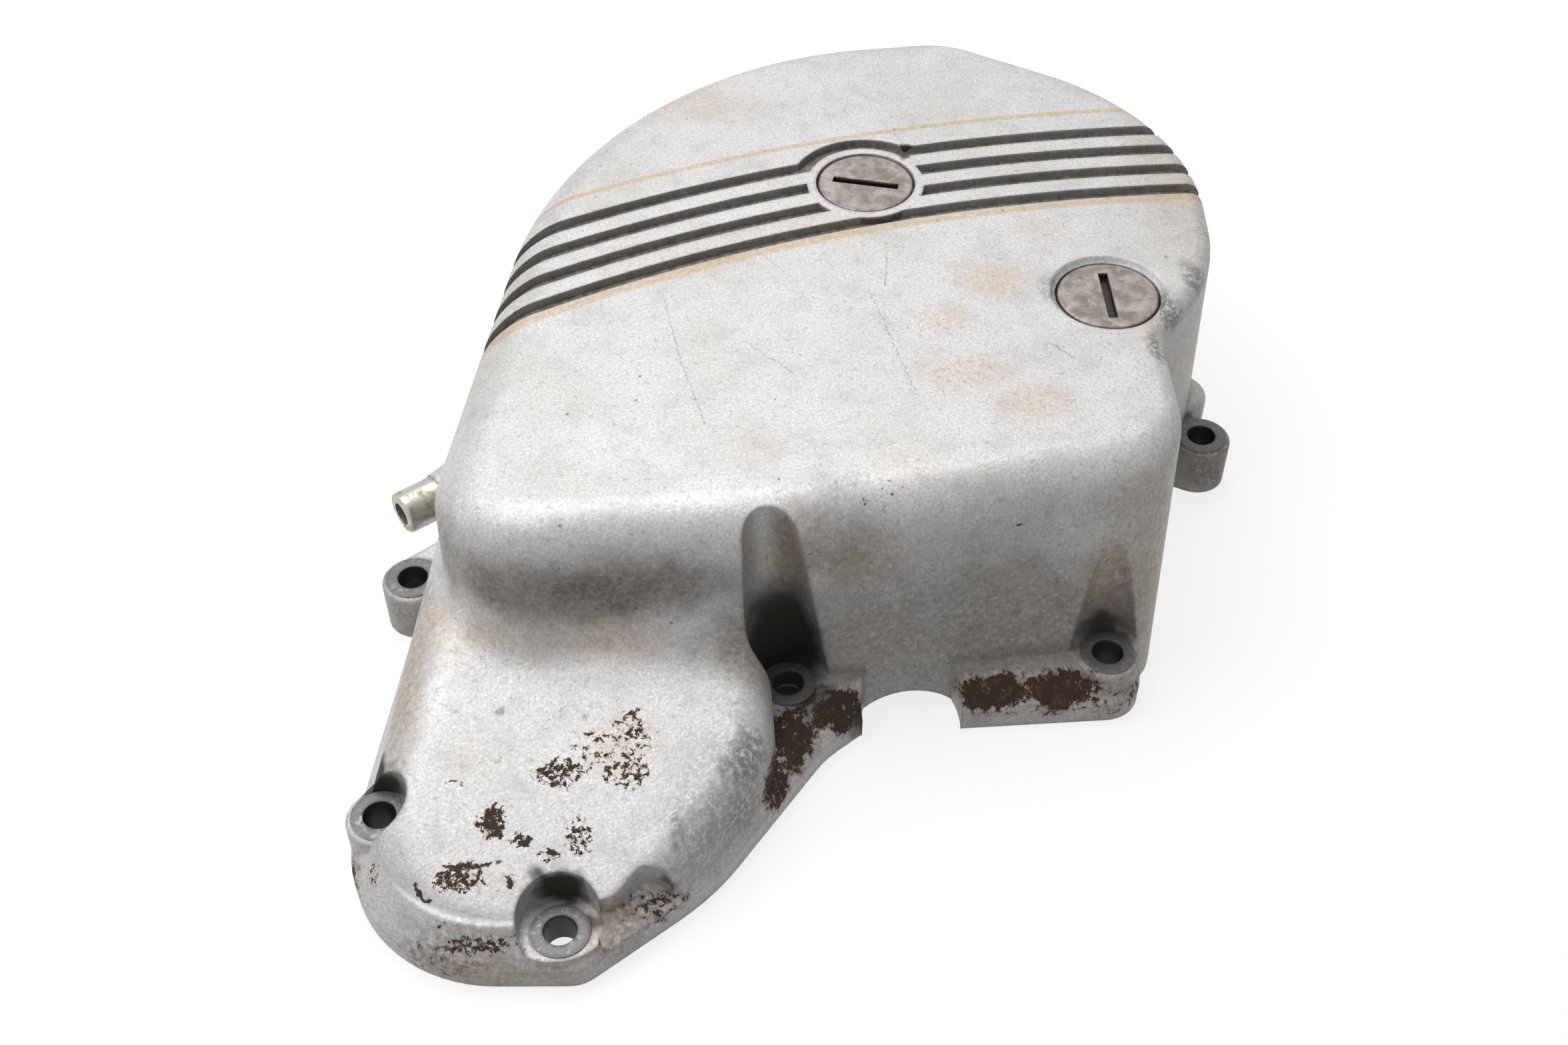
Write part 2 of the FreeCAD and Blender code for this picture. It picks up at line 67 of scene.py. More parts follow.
class ThreadSize(Enum):
    """Named inputs of the tree that makes a plug's thread."""

    RADIUS = "Radius"
    CREST = "Crest"
    PITCH = "Pitch"
    LENGTH = "Length"


@dataclass(frozen=True)
class Layout:
    """Drawing grid of the casting, in millimetres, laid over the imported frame.

    Attributes:
        crank_x: Grid x of the crankshaft plug's axis.
        crank_y: Grid y of the crankshaft plug's axis.
    """

    crank_x: float = 20.8
    crank_y: float = 60.0

    def origin(self) -> Vector:
        """Give the grid's origin in the frame, in metres.

        Returns:
            The point of the frame that the grid calls zero.
        """
        low, high = (Vector(corner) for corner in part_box("crank_plug"))
        middle = (low + high) / 2
        return Vector((middle.x - self.crank_x * MM, middle.y - self.crank_y * MM, 0.0))

    def at(self, x: float, y: float, z: float) -> Vector:
        """Turn grid millimetres into a point of the frame.

        Args:
            x: Grid x.
            y: Grid y.
            z: Height above the gasket face.

        Returns:
            The point in metres.
        """
        return self.origin() + Vector((x, y, z)) * MM


@dataclass(frozen=True)
class Patch:
    """Soft ellipsoid that a stain or a worn place fills.

    Attributes:
        centre: Grid position, in millimetres.
        radii: Reach along the three axes, in millimetres.
        strength: How strongly it shows.
    """

    centre: Point
    radii: Point
    strength: float = 1.0


@dataclass(frozen=True)
class Stroke:
    """Thin line through several points, such as a scratch.

    Attributes:
        points: Grid positions along the line, in millimetres.
        width: Half its width, in millimetres.
        strength: How strongly it shows.
    """

    points: tuple[Point, ...]
    width: float = 0.25
    strength: float = 1.0


def spots(radii: Point, *places: tuple[float, ...]) -> tuple[Patch, ...]:
    """Make several patches of one reach.

    Args:
        radii: Their reach along the three axes, in millimetres.
        places: Grid position of each, and its strength where that isn't 1.

    Returns:
        The patches.
    """
    return tuple(Patch(place[:3], radii, *place[3:]) for place in places)


@dataclass(frozen=True)
class Grain:
    """One fractal noise.

    Attributes:
        scale: Grains per millimetre.
        detail: Octaves.
        roughness: Share of the finer octaves.
        distortion: How far the grains are pulled about.
    """

    scale: float
    detail: float = 2.0
    roughness: float = 0.5
    distortion: float = 0.0


@dataclass(frozen=True)
class Tint:
    """Colour that shows where some value is high.

    Attributes:
        colour: The colour on top.
        span: Values between which it comes in.
        share: How much of it shows at most.
    """

    colour: Colour
    span: Span
    share: float = 1.0


@dataclass(frozen=True)
class Stain(Tint):
    """Tint in soft patches, which the speckle breaks up.

    Attributes:
        patches: Where the stain lies.
    """

    patches: tuple[Patch, ...] = ()


class Graph:
    """Builds the node tree of one material, in grid millimetres.

    Attributes:
        patch_core: Share of a patch's reach that is at full strength.
        stroke_core: Share of a stroke's width that is at full strength.
        ripple_roughness: Share of the finer octaves where the grid is pulled about.
        bevel_samples: Rays that look for a sharp edge.
        shelter_samples: Rays that look for a sheltering wall.
    """

    patch_core: float = 0.3
    stroke_core: float = 0.4
    ripple_roughness: float = 0.6
    bevel_samples: int = 3
    shelter_samples: int = 2

    def __init__(self, name: str, layout: Layout) -> None:
        """Start a material with a Principled surface.

        Args:
            name: Name of the material.
            layout: Grid that the patterns are drawn on.
        """
        self.material = bpy.data.materials.new(name)
        self.material.use_nodes = True
        self.tree = self.material.node_tree
        self.shader = self.tree.nodes["Principled BSDF"]
        coordinates = self.node("ShaderNodeTexCoord")
        mapping = self.node("ShaderNodeMapping")
        origin = layout.origin() / MM
        mapping.inputs["Location"].default_value = (-origin.x, -origin.y, -origin.z)
        mapping.inputs["Scale"].default_value = (1 / MM, 1 / MM, 1 / MM)
        self.link(coordinates.outputs["Object"], mapping.inputs["Vector"])
        self.place = mapping.outputs["Vector"]
        self.x, self.y, self.z = self.split(self.place)
        self.flat = self.vector("MULTIPLY", self.place, (1.0, 1.0, 0.0))
        self.normal_x, self.normal_y, self.normal_z = self.split(coordinates.outputs["Normal"])

    def node(self, kind: str) -> bpy.types.Node:
        """Add one node of the given kind."""
        return self.tree.nodes.new(kind)

    def link(self, source: Socket, target: Socket) -> None:
        """Join two sockets."""
        self.tree.links.new(source, target)

    def feed(self, value: object, target: Socket) -> None:
        """Link a socket, or set a plain number, vector or colour.

        Args:
            value: A socket, a number, a vector or a colour.
            target: The input that takes it.
        """
        if isinstance(value, Socket):
            self.link(value, target)
        elif target.type == "RGBA":
            target.default_value = (*value, 1.0)
        else:
            target.default_value = value

    def split(self, vector: Socket) -> tuple[Socket, ...]:
        """Take a vector apart into its three numbers."""
        node = self.node("ShaderNodeSeparateXYZ")
        self.link(vector, node.inputs[0])
        return tuple(node.outputs)

    def operate(self, kind: str, operation: str, values: tuple) -> bpy.types.Node:
        """Add a node that works on its inputs in their order.

        Args:
            kind: Kind of node.
            operation: Name of the operation.
            values: Its inputs, sockets or plain values.

        Returns:
            The node.
        """
        node = self.node(kind)
        node.operation = operation
        for value, target in zip(values, node.inputs):
            self.feed(value, target)
        return node

    def math(self, operation: str, *values: object, clamp: bool = False) -> Socket:
        """Add a Math node.

        Args:
            operation: Name of the operation.
            values: Its inputs, sockets or numbers.
            clamp: Whether the result is kept between 0 and 1.

        Returns:
            The result's socket.
        """
        node = self.operate("ShaderNodeMath", operation, values)
        node.use_clamp = clamp
        return node.outputs[0]

    def vector(self, operation: str, *values: object) -> Socket:
        """Add a Vector Math node that gives a vector.

        Args:
            operation: Name of the operation.
            values: Its vectors.

        Returns:
            The result's socket.
        """
        return self.operate("ShaderNodeVectorMath", operation, values).outputs["Vector"]

    def scaled(self, vector: object, factor: object) -> Socket:
        """Make a vector longer or shorter."""
        node = self.operate("ShaderNodeVectorMath", "SCALE", (vector,))
        self.feed(factor, node.inputs["Scale"])
        return node.outputs["Vector"]

    def measure(self, operation: str, *values: object) -> Socket:
        """Add a Vector Math node that gives a number.

        Args:
            operation: Name of the operation.
            values: Its vectors.

        Returns:
            The result's socket.
        """
        return self.operate("ShaderNodeVectorMath", operation, values).outputs["Value"]

    def ramp(self, value: object, low: float, high: float) -> Socket:
        """Rise smoothly from 0 at low to 1 at high, or fall where high is below low.

        Args:
            value: The socket that is read.
            low: Its value where the result is 0.
            high: Its value where the result is 1.

        Returns:
            The result's socket.
        """
        node = self.node("ShaderNodeMapRange")
        node.interpolation_type = "SMOOTHSTEP"
        self.feed(value, node.inputs["Value"])
        flip = low > high
        node.inputs["From Min"].default_value = high if flip else low
        node.inputs["From Max"].default_value = low if flip else high
        node.inputs["To Min"].default_value = 1.0 if flip else 0.0
        node.inputs["To Max"].default_value = 0.0 if flip else 1.0
        return node.outputs["Result"]

    def noise(self, grain: Grain, place: Socket | None = None,
              colour: bool = False) -> Socket:
        """Add fractal noise on the grid.

        Args:
            grain: Size and fineness of the noise.
            place: Coordinates to use instead of the plain grid.
            colour: Whether three separate noises are wanted.

        Returns:
            The noise's socket, between 0 and 1.
        """
        node = self.node("ShaderNodeTexNoise")
        self.link(place or self.place, node.inputs["Vector"])
        node.inputs["Scale"].default_value = grain.scale
        node.inputs["Detail"].default_value = grain.detail
        node.inputs["Roughness"].default_value = grain.roughness
        node.inputs["Distortion"].default_value = grain.distortion
        return node.outputs["Color" if colour else "Fac"]

    def warped(self, amount: float, scale: float) -> Socket:
        """Give the grid pulled about, so that edges drawn on it are ragged.

        Args:
            amount: How far points move, in millimetres.
            scale: Ripples per millimetre.

        Returns:
            The moved coordinates.
        """
        ripples = self.noise(Grain(scale, roughness=self.ripple_roughness), colour=True)
        push = self.vector("SUBTRACT", ripples, (0.5, 0.5, 0.5))
        return self.vector("ADD", self.place, self.scaled(push, amount))

    def mix_node(self, kind: str, sockets: tuple[int, int], values: tuple) -> bpy.types.Node:
        """Add a Mix node.

        Args:
            kind: Kind of value that it mixes.
            sockets: Numbers of its two value inputs.
            values: Share of the second, then the first and the second.

        Returns:
            The node.
        """
        node = self.node("ShaderNodeMix")
        node.data_type = kind
        for value, socket in zip(values, (MIX_SHARE, *sockets)):
            self.feed(value, node.inputs[socket])
        return node

    def mix(self, share: object, first: object, second: object) -> Socket:
        """Blend two colours."""
        return self.mix_node("RGBA", MIX_COLOURS, (share, first, second)).outputs[MIX_COLOUR_RESULT]

    def blend(self, share: object, first: object, second: object) -> Socket:
        """Blend two numbers."""
        return self.mix_node("FLOAT", MIX_NUMBERS, (share, first, second)).outputs[MIX_NUMBER_RESULT]

    def tint(self, value: object, tint: Tint, under: object) -> Socket:
        """Lay a tint over a colour.

        Args:
            value: The socket that the tint follows.
            tint: The colour on top, and where it comes in.
            under: The colour underneath.

        Returns:
            The blended colour's socket.
        """
        mask = self.ramp(value, *tint.span)
        if tint.share < 1:
            mask = self.math("MULTIPLY", mask, tint.share)
        return self.mix(mask, under, tint.colour)

    def distance(self, x: float, y: float) -> Socket:
        """Measure the plan distance from an upright axis.

        Args:
            x: Grid x of the axis.
            y: Grid y of the axis.

        Returns:
            The distance's socket, in millimetres.
        """
        return self.measure("DISTANCE", self.flat, (x, y, 0.0))

    def both(self, *masks: object) -> Socket:
        """Multiply masks together."""
        result = masks[0]
        for mask in masks[1:]:
            result = self.math("MULTIPLY", result, mask)
        return result

    def either(self, *masks: object) -> Socket:
        """Take the strongest of several masks."""
        result = masks[0]
        for mask in masks[1:]:
            result = self.math("MAXIMUM", result, mask)
        return result

    def patches(self, place: Socket, patches: tuple[Patch, ...]) -> Socket:
        """Mask of several soft patches.

        Args:
            place: Coordinates that the patches are drawn on.
            patches: The patches.

        Returns:
            The mask's socket.
        """
        total, shrunk = 0.0, {}
        for patch in patches:
            shrink = tuple(1 / radius for radius in patch.radii)
            if shrink not in shrunk:
                shrunk[shrink] = self.vector("MULTIPLY", place, shrink)
            centre = tuple(value * factor for value, factor in zip(patch.centre, shrink))
            mask = self.ramp(self.measure("DISTANCE", shrunk[shrink], centre), 1.0, self.patch_core)
            total = self.either(total, self.math("MULTIPLY", mask, patch.strength))
        return total

    def strokes(self, place: Socket, strokes: tuple[Stroke, ...]) -> Socket:
        """Mask of thin lines through given points.

        Args:
            place: Coordinates that the lines are drawn on.
            strokes: The lines.

        Returns:
            The mask's socket.
        """
        total = 0.0
        for stroke in strokes:
            for start, end in zip(stroke.points, stroke.points[1:]):
                run = Vector(end) - Vector(start)
                off = self.vector("SUBTRACT", place, start)
                share = self.measure("DOT_PRODUCT", off, tuple(run / run.length_squared))
                foot = self.scaled(tuple(run), self.math("ADD", share, 0.0, clamp=True))
                core = stroke.width * self.stroke_core
                mask = self.ramp(self.measure("DISTANCE", off, foot), stroke.width, core)
                total = self.either(total, self.math("MULTIPLY", mask, stroke.strength))
        return total

    def soft_edges(self, radius_mm: float) -> Socket:
        """Give the normal with sharp edges rounded off.

        Args:
            radius_mm: Radius of the rounding.

        Returns:
            The normal's socket.
        """
        node = self.node("ShaderNodeBevel")
        node.samples = self.bevel_samples
        node.inputs["Radius"].default_value = radius_mm * MM
        return node.outputs[0]

    def shelter(self, reach_mm: float) -> Socket:
        """Mask of corners and hollows, from occlusion, where dirt collects and painted shade goes.

        Args:
            reach_mm: How far away a wall still shelters a point.

        Returns:
            The mask's socket, 1 in the deepest corners.
        """
        node = self.node("ShaderNodeAmbientOcclusion")
        node.samples = self.shelter_samples
        node.inputs["Distance"].default_value = reach_mm * MM
        return self.math("SUBTRACT", 1.0, node.outputs["AO"])

    def bump(self, height: object, depth_mm: float, under: Socket | None = None,
             strength: object = 1.0) -> Socket:
        """Add a bump of the given depth.

        Args:
            height: Height pattern, 0 to 1.
            depth_mm: Depth of the pattern.
            under: Normal of a coarser bump below it.
            strength: Share of the bump that shows, a number or a mask.

        Returns:
            The normal's socket.
        """
        node = self.node("ShaderNodeBump")
        self.feed(strength, node.inputs["Strength"])
        node.inputs["Distance"].default_value = depth_mm * MM
        self.feed(height, node.inputs["Height"])
        if under is not None:
            self.link(under, node.inputs["Normal"])
        return node.outputs[0]


@dataclass(frozen=True)
class Camera:
    """Camera at the photograph's place.

    Attributes:
        focal_px: Focal length in pixels of the full image.
        elevation: Angle above the horizon, in degrees.
        roll: Tilt of the picture, in degrees.
        reach_mm: Distance from the grid's origin.
        sensor_mm: Width of the sensor.
        clip_mm: Nearest distance that it sees.
    """

    focal_px: float = 2850.0
    elevation: float = 45.5
    roll: float = -0.3
    reach_mm: float = 475.0
    sensor_mm: float = 36.0
    clip_mm: float = 10.0

    def build(self, layout: Layout) -> None:
        """Make the camera and give it to the scene.

        Args:
            layout: Grid whose origin is the picture's centre.
        """
        data = bpy.data.cameras.new("camera")
        data.sensor_width = self.sensor_mm
        data.lens = self.focal_px * self.sensor_mm / IMAGE_WIDTH
        data.clip_start = self.clip_mm * MM
        angle, turn = math.radians(self.elevation), math.radians(self.roll)
        back = Vector((0.0, -math.cos(angle), math.sin(angle)))
        right = Vector((1.0, 0.0, 0.0))
        up = back.cross(right)
        side = right * math.cos(turn) + up * math.sin(turn)
        top = up * math.cos(turn) - right * math.sin(turn)
        matrix = Matrix((side, top, back)).transposed().to_4x4()
        matrix.translation = layout.origin() + back * self.reach_mm * MM
        camera = bpy.data.objects.new("camera", data)
        camera.matrix_world = matrix
        bpy.context.collection.objects.link(camera)
        bpy.context.scene.camera = camera


@dataclass(frozen=True)
class Lamp:
    """One soft rectangular lamp.

    Attributes:
        name: Name of the lamp.
        place: Grid position, in millimetres.
        size: Width and height, in millimetres.
        power: Power, in watts.
    """

    name: str
    place: Point
    size: Pair
    power: float

    def build(self, layout: Layout) -> None:
        """Make the lamp, turned towards the grid's origin.

        Args:
            layout: Grid that the lamp is placed on.
        """
        data = bpy.data.lights.new(self.name, "AREA")
        data.shape = "RECTANGLE"
        data.size, data.size_y = (length * MM for length in self.size)
        data.energy = self.power
        lamp = bpy.data.objects.new(self.name, data)
        lamp.location = layout.at(*self.place)
        lamp.rotation_euler = (lamp.location - layout.origin()).to_track_quat("Z", "Y").to_euler()
        bpy.context.collection.objects.link(lamp)


@dataclass
class Studio:
    """Pale floor, white surroundings and soft lamps.

    Attributes:
        floor_mm: Side of the floor.
        floor_drop_mm: How far the floor lies below the gasket face.
        floor_colour: Colour of the floor under the object.
        floor_roughness: Roughness of the floor.
        floor_glow: Light that the floor gives to rays that see it directly.
        fill: Strength of the surroundings' light on the object.
        lamps: The soft lamps.
    """

    floor_mm: float = 4000.0
    floor_drop_mm: float = 0.4
    floor_colour: Colour = (0.27, 0.27, 0.27)
    floor_roughness: float = 0.9
    floor_glow: float = 0.8
    fill: float = 0.15
    lamps: list[Lamp] = field(default_factory=lambda: [
        Lamp("overhead", (-200.0, 220.0, 780.0), (1000.0, 500.0), 6.1),
        Lamp("left", (-900.0, 0.0, 500.0), (600.0, 600.0), 1.0),
    ])

    def build(self, layout: Layout) -> None:
        """Make the floor, the surroundings and the lamps.

        Args:
            layout: Grid that everything is placed on.
        """
        half = self.floor_mm * MM / 2
        drop = -self.floor_drop_mm * MM
        points = [(-half, -half, drop), (half, -half, drop), (half, half, drop), (-half, half, drop)]
        mesh = bpy.data.meshes.new("floor")
        mesh.from_pydata(points, [], [tuple(range(len(points)))])
        mesh.materials.append(self.floor_material())
        floor = bpy.data.objects.new("floor", mesh)
        bpy.context.collection.objects.link(floor)
        self.surroundings()
        for lamp in self.lamps:
            lamp.build(layout)

    def floor_material(self) -> Material:
        """Make a pale floor that looks white beyond the object's shadow.

        Returns:
            The floor's material.
        """
        material = bpy.data.materials.new("pale_floor")
        material.use_nodes = True
        tree = material.node_tree
        shader = tree.nodes["Principled BSDF"]
        shader.inputs["Base Color"].default_value = (*self.floor_colour, 1.0)
        shader.inputs["Roughness"].default_value = self.floor_roughness
        shader.inputs["Emission Color"].default_value = WHITE
        glow = tree.nodes.new("ShaderNodeMath")
        glow.operation = "MULTIPLY"
        glow.inputs[1].default_value = self.floor_glow
        tree.links.new(self.seen_directly(tree), glow.inputs[0])
        tree.links.new(glow.outputs[0], shader.inputs["Emission Strength"])
        return material

    def seen_directly(self, tree: bpy.types.NodeTree) -> Socket:
        """Add the test for the camera's own rays, and those off gloss and through glass.

        Args:
            tree: Node tree that the test is added to.

        Returns:
            A socket that is 1 for such rays.
        """
        rays = tree.nodes.new("ShaderNodeLightPath")
        seen = rays.outputs["Is Camera Ray"]
        for ray in ("Is Glossy Ray", "Is Transmission Ray"):
            either = tree.nodes.new("ShaderNodeMath")
            either.operation = "MAXIMUM"
            tree.links.new(seen, either.inputs[0])
            tree.links.new(rays.outputs[ray], either.inputs[1])
            seen = either.outputs[0]
        return seen

    def surroundings(self) -> None:
        """Set a world that is white to rays that see it directly, and soft to the object."""
        world = bpy.data.worlds.new("surroundings")
        bpy.context.scene.world = world
        world.use_nodes = True
        tree = world.node_tree
        background = tree.nodes["Background"]
        background.inputs["Color"].default_value = WHITE
        strength = tree.nodes.new("ShaderNodeMapRange")
        strength.inputs["To Min"].default_value = self.fill
        strength.inputs["To Max"].default_value = 1.0
        tree.links.new(self.seen_directly(tree), strength.inputs["Value"])
        tree.links.new(strength.outputs["Result"], background.inputs["Strength"])


@dataclass(frozen=True)
class Texture:
    """Coordinates and noise that the layers of the casting's finish share.

    Attributes:
        ragged: Grid pulled about in broad waves, for the edges of stains.
        frayed: Grid pulled about finely, for scratches and pits.
        speckle: Fine noise that breaks up edges.
    """

    ragged: Socket
    frayed: Socket
    speckle: Socket


@dataclass(frozen=True)
class CastFinish:
    """Grainy silver paint on the casting, stained, scratched and eaten by corrosion, with painted glints and
    painted shade.

    Colours come first, then noises, tints and stains, then the masks' places and ranges in grid millimetres.
    """

    silver: Colour = (0.73, 0.73, 0.725)
    silver_dark: Colour = (0.56, 0.56, 0.57)
    glint: Colour = (0.95, 0.95, 0.94)
    shade: Colour = (0.44, 0.44, 0.45)
    tan: Colour = (0.40, 0.30, 0.19)
    dust_and_shade: Colour = (0.17, 0.125, 0.085)
    ochre: Colour = (0.55, 0.35, 0.14)
    # Dark grey of smudges, marks and scratches, also used as painted shade on the lobe.
    smoke_and_shade: Colour = (0.13, 0.135, 0.14)
    # Near black of grime, also used as painted shade in the pockets, the corners and the bolt holes.
    grime_and_shade: Colour = (0.022, 0.017, 0.012)
    groove: Colour = (0.24, 0.22, 0.18)
    rust: Colour = (0.035, 0.018, 0.010)
    rust_light: Colour = (0.20, 0.11, 0.045)
    pale: Colour = (0.55, 0.50, 0.43)
    bare: Colour = (0.15, 0.15, 0.16)
    inner: Colour = (0.28, 0.27, 0.25)
    machined: Colour = (0.42, 0.41, 0.39)

    speckle: Grain = Grain(0.75, 4.0, 0.68)
    sand: Grain = Grain(1.6, 2.0, 0.6)
    cloud: Grain = Grain(0.035, 3.0, 0.55)
    mottle: Grain = Grain(0.16, 3.0, 0.6)
    mark: Grain = Grain(1.0, 1.0)
    crack: Grain = Grain(0.75, 5.0, 0.68, 0.3)
    rust_grain: Grain = Grain(0.4, 4.0, 0.7)
    pale_grain: Grain = Grain(0.5, 3.0, 0.6)
    inner_grain: Grain = Grain(0.05, 3.0)
    sand_relief: Grain = Grain(1.7, 3.0, 0.6)
    flake_relief: Grain = Grain(1.1, 3.0, 0.7)
    ragged: Span = (8.0, 0.14)
    frayed: Span = (1.8, 0.7)

    sand_tint: Tint = Tint(silver, (0.30, 0.68))
    glint_tint: Tint = Tint(glint, (0.62, 0.75), 0.7)
    mottle_tint: Tint = Tint(shade, (0.42, 0.75), 0.4)
    cloud_tint: Tint = Tint(tan, (0.35, 0.75), 0.2)
    groove_dirt: Tint = Tint(grime_and_shade, (0.4, 0.7), 0.7)
    rust_tint: Tint = Tint(rust_light, (0.48, 0.75))
    pale_tint: Tint = Tint(pale, (0.64, 0.69))
    rust_halo: Tint = Tint(rust_light, (0.52, 0.78), 0.5)
    grime_and_shade_tint: Tint = Tint(grime_and_shade, (0.0, 0.9))
    pit_halo: Tint = Tint(ochre, (0.66, 0.80), 0.3)
    corner_dirt_and_shade: Tint = Tint(grime_and_shade, (0.4, 0.95), 0.45)
    inner_tint: Tint = Tint(machined, (0.3, 0.7))

    tan_bands: Stain = Stain(tan, (0.2, 0.65), 0.8, (
        Patch((-83, -65, 24), (9, 42, 18), 0.9), Patch((-62, -131, 4), (36, 6, 6), 0.8),
        Patch((20, -80, 7), (36, 6, 6), 0.7), Patch((72, -47, 30), (9, 8, 20)),
        Patch((2, -53, 44), (9, 8, 20), 0.9), *spots((20, 70, 40), (98, 60, 40, 0.6), (88, -30, 30, 0.8),
        (-72, 20, 40, 0.4)), *spots((12, 10, 10), (-85, -30, 8, 0.8), (-36, -123, 9), (17, -57, 45, 0.7),
        (76, -42, 50, 0.5)),
    ))
    # Dust and painted shade: brown-grey over the step and the front wall, which face away from the overhead
    # lamp.
    dusty_and_shaded: Stain = Stain(dust_and_shade, (0.1, 0.6), 0.85, (
        Patch((-42, -59, 44), (44, 12, 13), 0.9), *spots((16, 16, 14), (-72, -50, 44, 0.6),
        (-8, -64, 28, 0.7), (107, 16, 8, 0.8), (-88, -30, 5, 0.5), (10, -52, 52, 0.4)),
        Patch((35, -60, 24), (60, 13, 34), 0.5), Patch((60, -56, 24), (60, 13, 34), 0.6),
    ))
    yellowed: Stain = Stain(ochre, (0.25, 0.75), 0.55, (
        *spots((13, 9, 4), (49, 21, 60), (41, -12, 60), (56, -22, 60), (-35, -88, 24, 0.5)),
        *spots((9, 9, 4), (38, 6, 60, 0.8), (25, -42, 60, 0.6), (82, 4, 60, 0.9), (62, 40, 60, 0.5),
        (-77, -58, 30)), *spots((30, 10, 5), (-25, 95, 60, 0.45), (-60, -64, 31, 0.7), (10, 40, 60, 0.45),
        (-30, 30, 60, 0.35)), Patch((-37, -66, 32), (15, 7, 8)),
    ))
    smoky_and_shaded: Stain = Stain(smoke_and_shade, (0.36, 0.55), 0.75, (
        *spots((9, 11, 9), (-9, -90, 21), (-7, -99, 13), (-30, -122, 6, 0.4)),
        *spots((4, 9, 5), (-22, -106, 18, 0.8), (84, -4, 59), (90, 10, 59), (97, 22, 59, 0.8),
        (63, 17, 59, 0.6), (84, -24, 56, 0.6), (-80, -95, 19, 0.5), (-78, -50, 26, 0.5),
        (-10, -76, 24, 0.5), (101, 40, 57, 0.5)), Patch((-59, -81, 26), (1.5, 2.5, 2)),
        # Painted shade: these two broad patches darken the lobe's right side and its front shoulder, which
        # face away from the lamps.
        Patch((-14, -98, 15), (17, 26, 12), 0.55), Patch((-62, -126, 8), (36, 9, 8), 0.45),
    ))
    # Grime and painted shade: the larger patches paint the pockets and the ground below them near black.
    grime_and_pocket_shade: tuple[Patch, ...] = (
        Patch((-1, -55, 15), (15, 14, 30)), *spots((10, 7, 7), (5, -66, 10), (-46, -114, 11),
        (-85, -90, 15, 0.9), (72, -48, 14, 0.7), (-90, -30, 12, 0.5), (20, -66, 4, 0.8)),
        *spots((4, 4, 3), (-39, -121, 9, 0.6), (-24, -114, 10, 0.6), (31, 73, 60)),
    )
    corroded: tuple[Patch, ...] = (
        Patch((2, -76, 10), (12, 10, 8)), Patch((-2, -88, 9), (6, 14, 8), 0.9),
        Patch((-92, -112, 6), (6, 14, 8), 0.75), *spots((15, 7, 7), (12, -68, 9), (47, -62, 8),
        (61, -61, 8), (-70, -128, 5, 0.4), (76, -60, 5, 0.5), (-28, -116, 7, 0.55)),
    )
    pitted: tuple[Patch, ...] = (
        *spots((9, 6, 5), (-47, -94, 22), (-33, -94, 22, 0.9), (-66, -115, 15, 1.05)),
        *spots((5, 7, 5), (-32, -84, 25, 0.9), (-60, -104, 19, 1.1), (-42, -107, 18, 0.95),
        (-86, -112, 11, 0.85), (86, -12, 56, 0.75)), *spots((4, 3, 4), (-54, -108, 18, 1.1),
        (-48, -111, 17, 1.05), (-56, -116, 14, 0.95), (-68, -96, 21, 0.8)),
        Patch((-61, -127, 9), (16, 3, 5), 0.9), Patch((-36, -90, 24), (16, 14, 6), 0.72),
        Patch((20, -50, 58), (16, 14, 6), 0.45), Patch((50, -49, 49), (1.2, 1.2, 1.5), 1.2),
    )
    scratches: tuple[Stroke, ...] = (
        Stroke(((-28, 16, 60), (-23, -8, 60), (-17, -29, 60)), 0.3, 0.4),
        Stroke(((20, 18, 60), (28, -14, 60), (34, -41, 59)), 0.25, 0.45),
        Stroke(((25, 32, 60), (24, 19, 60)), 0.3, 0.6), Stroke(((-9, -1, 60), (3, -13, 60)), 0.25, 0.4),
        Stroke(((60, -2, 60), (66, -8, 60)), 0.3, 0.5), Stroke(((-12, 40, 60), (2, 22, 60)), 0.2, 0.3),
        Stroke(((-60, -92, 23), (-44, -78, 27)), 0.25, 0.5),
    )
    worms: tuple[Stroke, ...] = (
        Stroke(((-75, -116, 14), (-73, -119, 13), (-68, -119, 13), (-66, -122, 12), (-70, -124, 11)), 0.6),
        Stroke(((-69, -113, 16), (-62, -113, 16), (-58, -112, 17)), 0.6),
        Stroke(((-72, -127, 7), (-64, -127, 9), (-57, -128, 9)), 0.5, 0.8),
        Stroke(((-34, -90, 23), (-30, -93, 22)), 0.5), Stroke(((-61, -102, 19), (-58, -107, 18)), 0.8),
    )

    groove_centre: Pair = (115.4, -292.5)
    groove_first_r: float = 349.5
    groove_pitch: float = 8.6
    groove_half_width: float = 2.0
    groove_edge: Span = (1.05, 0.9)
    groove_fray: Span = (0.05, 0.45)
    groove_bottom_z: Span = (42.0, 46.0)
    first_row: Span = (-0.35, -0.3)
    last_row: Span = (3.35, 3.3)
    crank_axis: Pair = (20.8, 60.0)
    collar_edge: Span = (14.4, 14.6)
    ring_radius: Span = (18.8, 18.4)
    ring_rows: Span = (2.6, 2.7)
    below_roof_z: Span = (59.9, 59.2)

    line_rings: tuple[Pair, ...] = ((345.8, 1.8), (385.0, 1.3))
    line_core: float = 0.3
    line_fray: Span = (0.3, 0.5)
    line_share: float = 0.6
    roof_z: Span = (50.0, 55.0)
    facing_up: Span = (0.3, 0.5)

    seat_edge: Span = (6.3, 6.0)
    seat_heights: Pair = (13.0, 8.0)
    seat_reach: Span = (0.5, 0.3)
    seat_fray: Span = (0.75, 0.5)
    hole_edge: Span = (3.65, 3.5)
    hole_top_z: Span = (14.0, 12.8)
    seats: tuple[Pair, ...] = (
        (105.0, 17.2), (72.7, -54.2), (0.7, -62.7), (-45.6, -122.9), (-84.9, -97.9), (-86.9, -30.1),
        (-72.0, 54.0), (-37.0, 108.5), (28.0, 134.5), (86.0, 111.5), (106.0, 85.5),
    )

